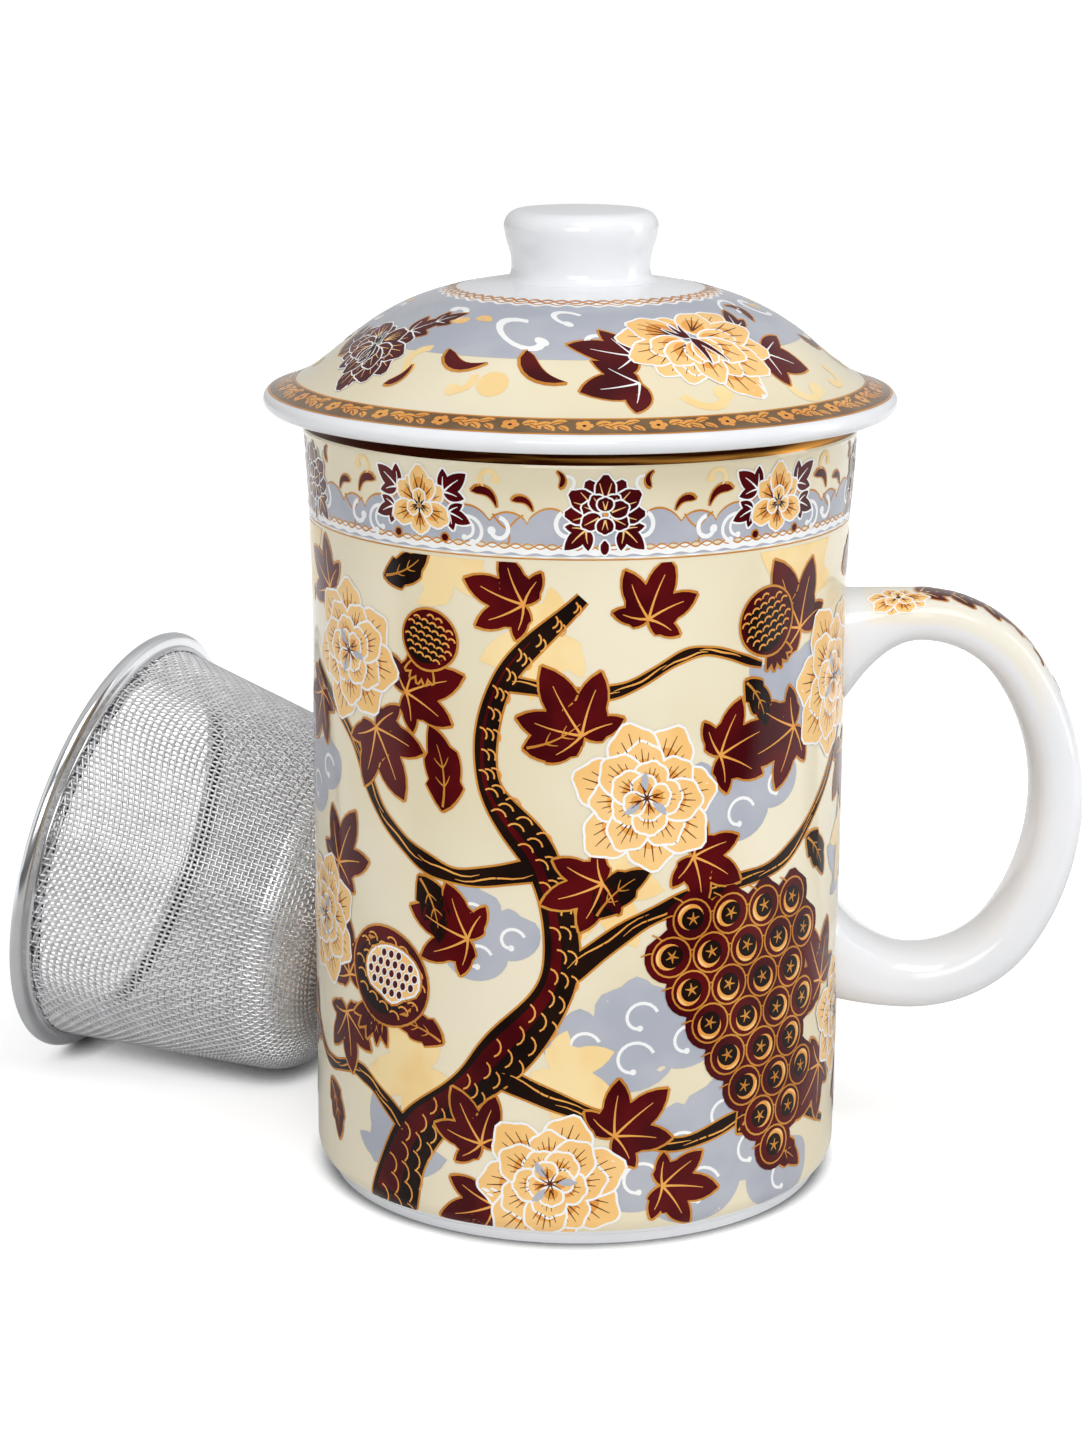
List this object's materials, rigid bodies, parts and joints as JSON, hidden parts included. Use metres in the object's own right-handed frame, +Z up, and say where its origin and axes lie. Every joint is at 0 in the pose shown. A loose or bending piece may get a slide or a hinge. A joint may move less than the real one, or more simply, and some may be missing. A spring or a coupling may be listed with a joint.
{
  "type": "lidded tea mug with infuser",
  "caption": "Tall porcelain tea mug with a strap handle, a domed lift-off lid with a knob, and a tapered wire-mesh infuser with a steel rim lying on its side beside it.",
  "frame": {"origin": "centre of the mug's foot ring, on the plane it stands on", "axes": "+Z up along the mug's axis, +X towards the handle; the infuser lies beside the mug on the -X and +Y side"},
  "size_m": [0.1641, 0.1295, 0.143],
  "materials": {
    "decorated_porcelain": "glossy",
    "white_porcelain": "glossy",
    "polished_steel": "polished",
    "woven_steel": "satin",
    "printed_colour": "glossy",
    "gold_lustre": "polished"
  },
  "bodies": {
    "mug": {"mug_body": "decorated_porcelain", "mug_handle": "white_porcelain"},
    "lid": {"lid_dome": "decorated_porcelain", "lid_knob": "white_porcelain"},
    "infuser": {"infuser_rim": "polished_steel", "infuser_clamp_band": "polished_steel", "infuser_basket": "woven_steel"}
  },
  "joints": [
    {"name": "lid_lift", "type": "slide", "parent": "mug", "child": "lid", "axis": [0, 0, 1], "range_m": [0, 0.08]},
    {"name": "infuser_lift", "type": "slide", "parent": "mug", "child": "infuser", "axis": [-0.5, 0, 0.866], "range_m": [0, 0.15]}
  ]
}
